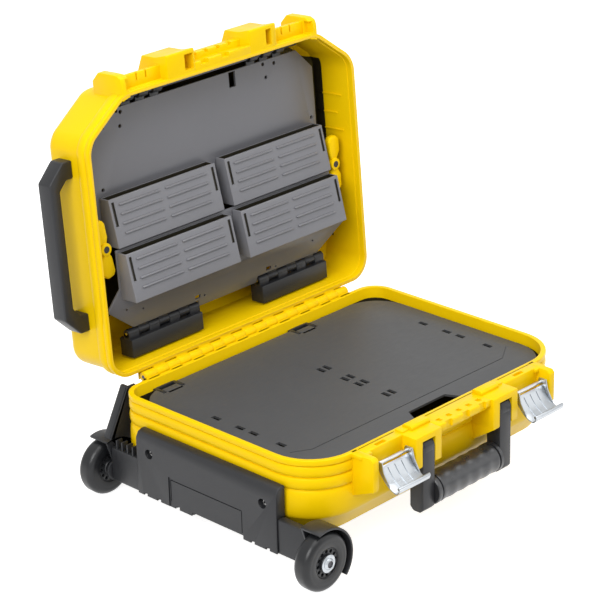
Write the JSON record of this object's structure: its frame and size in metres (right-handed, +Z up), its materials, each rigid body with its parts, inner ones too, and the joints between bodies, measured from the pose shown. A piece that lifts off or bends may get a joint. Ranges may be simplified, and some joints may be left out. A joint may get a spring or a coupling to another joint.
{
  "type": "wheeled tool case",
  "caption": "Hinged tool case with a deep ribbed tray, work board, swing-out tool pallets in the lid, snap latches, carry handle, wheels and a telescopic pull handle.",
  "frame": {"origin": "on the floor under the middle of the part's box, with the lid open", "axes": "+X along the hinge away from the wheels, -Y towards the latches, +Z up"},
  "size_m": [0.5435, 0.5279, 0.5467],
  "materials": {
    "yellow_shell": "satin",
    "black_plastic": "satin",
    "grey_plastic": "satin",
    "zinc_steel": "satin",
    "steel": "satin",
    "aluminium_tube": "satin",
    "grip_rubber": "matte",
    "tyre_rubber": "matte",
    "seal_rubber": "matte"
  },
  "bodies": {
    "base": {"base_shell": "yellow_shell", "hinge_pin": "steel", "board_hinge_blocks": "black_plastic", "board_hinge_pins": "steel", "axle_beam": "black_plastic", "wheel_cover": "black_plastic", "cover_screws": "steel", "axle": "steel", "axle_caps": "zinc_steel", "front_fender": "black_plastic", "rear_fender": "black_plastic", "outer_tubes": "aluminium_tube", "tube_end_block": "black_plastic", "rubber_feet": "grip_rubber", "foot_screws": "steel", "latch_rods": "steel", "carry_handle_pins": "steel"},
    "work_board": {"work_board": "grey_plastic"},
    "front_wheel": {"front_tyre": "tyre_rubber", "front_hub": "black_plastic"},
    "rear_wheel": {"rear_tyre": "tyre_rubber", "rear_hub": "black_plastic"},
    "middle_stage": {"middle_tubes": "aluminium_tube"},
    "pull_stage": {"inner_tubes": "aluminium_tube", "pull_bar": "black_plastic"},
    "release_button": {"release_button": "yellow_shell"},
    "left_latch": {"left_latch": "zinc_steel"},
    "right_latch": {"right_latch": "zinc_steel"},
    "carry_handle": {"carry_handle_frame": "black_plastic", "carry_handle_grip": "grip_rubber"},
    "lid": {"lid_shell": "yellow_shell", "lid_seal": "seal_rubber", "pallet_rod": "steel", "hinge_bracket_left": "black_plastic", "hinge_bracket_right": "black_plastic", "bracket_pins": "steel", "knob_screws": "steel", "stand_handle": "black_plastic", "stand_handle_screws": "steel"},
    "upper_pallet": {"upper_panel": "grey_plastic", "upper_pocket_left": "grey_plastic", "upper_pocket_right": "grey_plastic"},
    "lower_pallet": {"lower_panel": "grey_plastic", "lower_pocket_left": "grey_plastic", "lower_pocket_right": "grey_plastic"},
    "left_knob": {"wing_knob_left": "yellow_shell"},
    "right_knob": {"wing_knob_right": "yellow_shell"}
  },
  "joints": [
    {"name": "lid_hinge", "type": "hinge", "parent": "base", "child": "lid", "pos_m": [0.01725, 0.14946, 0.148], "axis": [1, 0, 0], "range_deg": [0, 94.3]},
    {"name": "board_lift", "type": "hinge", "parent": "base", "child": "work_board", "pos_m": [0.01725, 0.12347, 0.129], "axis": [1, 0, 0], "range_deg": [-50, 0]},
    {"name": "left_latch_swing", "type": "hinge", "parent": "base", "child": "left_latch", "pos_m": [0.01725, -0.22604, 0.1335], "axis": [-1, 0, 0], "range_deg": [0, 100]},
    {"name": "right_latch_swing", "type": "hinge", "parent": "base", "child": "right_latch", "pos_m": [0.01725, -0.22604, 0.1335], "axis": [-1, 0, 0], "range_deg": [0, 100]},
    {"name": "carry_handle_swing", "type": "hinge", "parent": "base", "child": "carry_handle", "pos_m": [0.01725, -0.22554, 0.128], "axis": [-1, 0, 0], "range_deg": [0, 90]},
    {"name": "front_wheel_spin", "type": "hinge", "parent": "base", "child": "front_wheel", "pos_m": [-0.23375, -0.21754, 0.038], "axis": [0, 1, 0], "continuous": true},
    {"name": "rear_wheel_spin", "type": "hinge", "parent": "base", "child": "rear_wheel", "pos_m": [-0.23375, 0.16647, 0.038], "axis": [0, 1, 0], "continuous": true},
    {"name": "middle_stage_slide", "type": "slide", "parent": "base", "child": "middle_stage", "axis": [1, 0, 0], "range_m": [0, 0.3]},
    {"name": "pull_stage_slide", "type": "slide", "parent": "middle_stage", "child": "pull_stage", "axis": [1, 0, 0], "range_m": [0, 0.3]},
    {"name": "release_button_press", "type": "slide", "parent": "pull_stage", "child": "release_button", "axis": [-1, 0, 0], "range_m": [0, 0.004], "stiffness_N_per_m": 300},
    {"name": "upper_pallet_swing", "type": "hinge", "parent": "lid", "child": "upper_pallet", "pos_m": [0.01725, 0.21612, 0.501], "axis": [1, 0, 0], "range_deg": [-60, 0]},
    {"name": "lower_pallet_swing", "type": "hinge", "parent": "lid", "child": "lower_pallet", "pos_m": [0.01725, 0.18712, 0.19531], "axis": [-1, 0, 0], "range_deg": [-60, 0]},
    {"name": "left_knob_turn", "type": "hinge", "parent": "lid", "child": "left_knob", "pos_m": [-0.19675, 0.19465, 0.3221], "axis": [0, 0.9972, -0.075], "range_deg": [-3, 21]},
    {"name": "right_knob_turn", "type": "hinge", "parent": "lid", "child": "right_knob", "pos_m": [0.23125, 0.19465, 0.3221], "axis": [0, 0.9972, -0.075], "range_deg": [-12, 12]}
  ]
}
